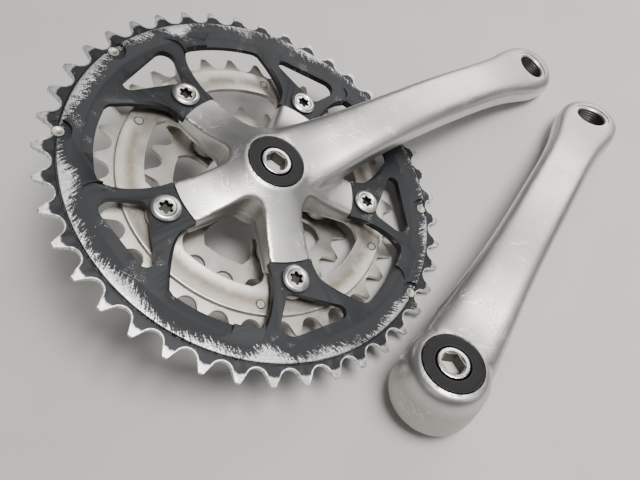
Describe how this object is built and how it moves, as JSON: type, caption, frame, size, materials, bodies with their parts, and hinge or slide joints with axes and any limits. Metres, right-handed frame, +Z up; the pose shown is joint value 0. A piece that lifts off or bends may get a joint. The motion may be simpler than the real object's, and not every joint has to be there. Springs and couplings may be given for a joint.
{
  "type": "bicycle crankset",
  "caption": "Square-taper bicycle crankset taken off its axle: chainset with stacked chainrings on a spider, and the loose opposite crank arm beside it.",
  "frame": {"origin": "centre of the bottom of the bounding box: the floor that both cranks lie on is z = 0", "axes": "+Z up from the floor, +X to the right of someone looking along +Y with the chainrings on the left and both pedal ends at the far right"},
  "size_m": [0.2558, 0.2247, 0.0657],
  "materials": {
    "forged_aluminium": "cold forged, fine lengthwise brushing, satin to bright, scratched",
    "anodised_ring": "dark slate anodised, scuffed to bare metal along the rim",
    "plated_ring": "warm nickel-like plating, dull and worn",
    "bolt_steel": "bright plated, light handling marks",
    "black_ring": "matt black with turning marks",
    "pin_steel": "plain pressed steel"
  },
  "bodies": {
    "chainset": {"right_crank_arm": "forged_aluminium", "right_retaining_ring": "black_ring", "outer_chainring": "anodised_ring", "middle_chainring": "plated_ring", "inner_chainring": "plated_ring", "ring_bolt_1": "bolt_steel", "ring_bolt_2": "bolt_steel", "ring_bolt_3": "bolt_steel", "ring_bolt_4": "bolt_steel", "ring_bolt_5": "bolt_steel", "ring_nut_1": "bolt_steel", "ring_nut_2": "bolt_steel", "ring_nut_3": "bolt_steel", "ring_nut_4": "bolt_steel", "ring_nut_5": "bolt_steel", "inner_ring_bolt_1": "bolt_steel", "inner_ring_bolt_2": "bolt_steel", "inner_ring_bolt_3": "bolt_steel", "inner_ring_bolt_4": "bolt_steel", "inner_ring_bolt_5": "bolt_steel", "outer_shift_pin_1": "pin_steel", "outer_shift_pin_2": "pin_steel", "outer_shift_pin_3": "pin_steel", "outer_shift_pin_4": "pin_steel", "middle_shift_pin_1": "pin_steel", "middle_shift_pin_2": "pin_steel", "middle_shift_pin_3": "pin_steel", "middle_shift_pin_4": "pin_steel"},
    "right_axle_bolt": {"right_crank_bolt": "bolt_steel", "right_bolt_washer": "bolt_steel"},
    "left_crank": {"left_crank_arm": "forged_aluminium", "left_retaining_ring": "black_ring"},
    "left_axle_bolt": {"left_crank_bolt": "bolt_steel", "left_bolt_washer": "bolt_steel"}
  },
  "joints": [
    {"name": "right_crank_bolt_turn", "type": "hinge", "parent": "chainset", "child": "right_axle_bolt", "pos_m": [-0.04617, -0.02419, 0.03284], "axis": [0.3648, -0.0161, 0.9309], "continuous": true},
    {"name": "left_crank_lift", "type": "slide", "parent": "chainset", "child": "left_crank", "axis": [0, 0, 1], "range_m": [0, 0.1]},
    {"name": "left_crank_bolt_turn", "type": "hinge", "parent": "left_crank", "child": "left_axle_bolt", "pos_m": [0.03431, -0.09142, 0.02943], "axis": [0.0815, 0.163, 0.9833], "continuous": true}
  ]
}
